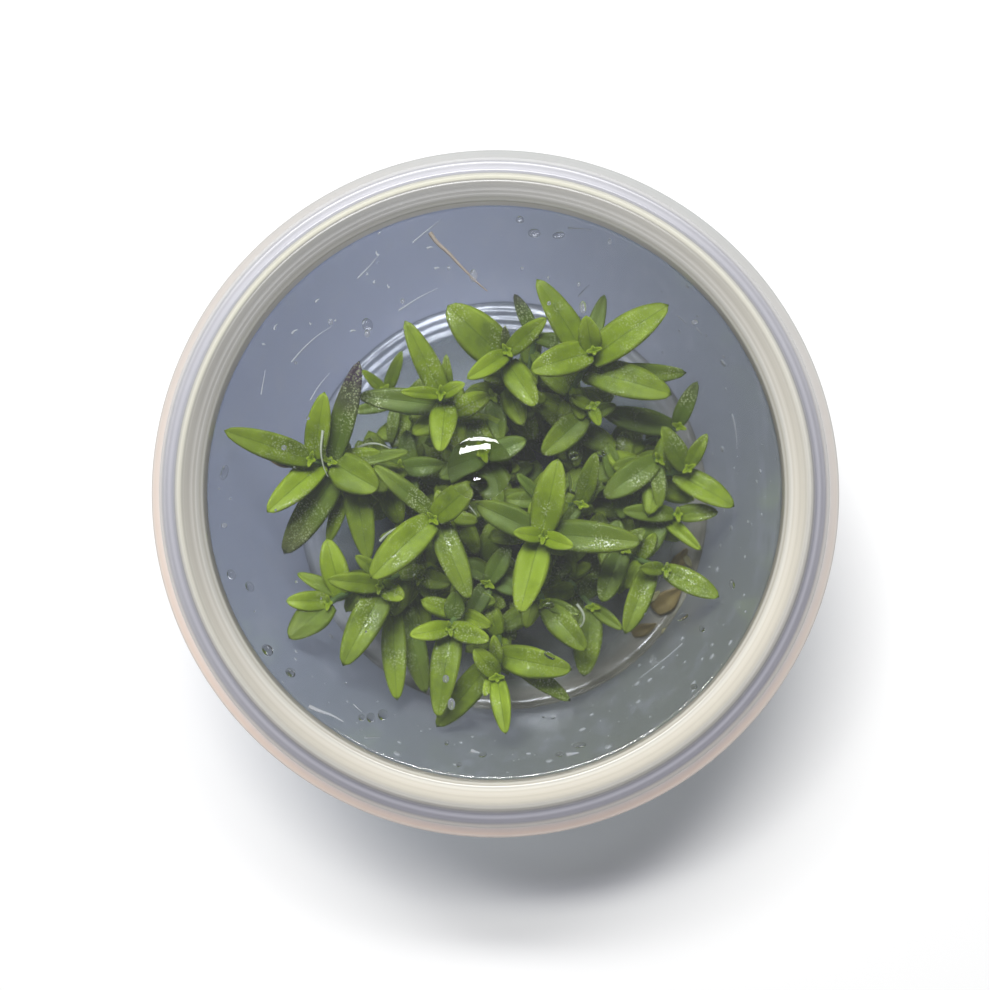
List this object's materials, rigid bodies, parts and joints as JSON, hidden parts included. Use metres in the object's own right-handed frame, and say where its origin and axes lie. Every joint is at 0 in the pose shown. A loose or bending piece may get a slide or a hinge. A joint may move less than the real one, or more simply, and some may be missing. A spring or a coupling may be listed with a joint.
{
  "type": "lidded tissue culture cup of bacopa salzmannii",
  "caption": "Clear round culture cup with a push-on lid, holding a gel bed and a tuft of young green bacopa shoots with opposite lance-shaped leaves.",
  "frame": {"origin": "centre of the cup's foot, on the surface it stands on", "axes": "+Z up through the centre of the lid; +X right and +Y up in a view from above"},
  "size_m": [0.0988, 0.0988, 0.06],
  "materials": {
    "cup": "clear moulded plastic with a blue-grey cast, misted with fine droplets inside",
    "lid": "clear glossy plastic, milky along the ridge and rim",
    "gel": "wet clear agar gel with a glossy meniscus",
    "plant": "wet, finely pebbled green leaf, yellow-green at the crowns and brown-purple on old tips",
    "withered": "limp brown decayed leaf, wet"
  },
  "bodies": {
    "root": {"cup": "cup", "lid": "lid", "nutrient_gel": "gel", "shoot_left_1": "plant", "shoot_left_2": "plant", "shoot_left_3": "plant", "shoot_left_4": "plant", "shoot_left_5": "plant", "shoot_left_6": "plant", "shoot_back_1": "plant", "shoot_back_2": "plant", "shoot_back_3": "plant", "shoot_right_1": "plant", "shoot_right_2": "plant", "shoot_right_3": "plant", "shoot_right_4": "plant", "shoot_right_5": "plant", "shoot_middle_1": "plant", "shoot_middle_2": "plant", "shoot_middle_3": "plant", "shoot_middle_4": "plant", "shoot_middle_5": "plant", "shoot_middle_6": "plant", "shoot_middle_7": "plant", "shoot_middle_8": "plant", "shoot_middle_9": "plant", "shoot_middle_10": "plant", "shoot_front_1": "plant", "shoot_front_2": "plant", "shoot_front_3": "plant", "shoot_front_4": "plant", "shoot_front_5": "plant", "shoot_front_6": "plant", "shoot_front_7": "plant", "withered_leaf_1": "withered", "withered_leaf_2": "withered", "withered_leaf_3": "withered"}
  },
  "joints": []
}
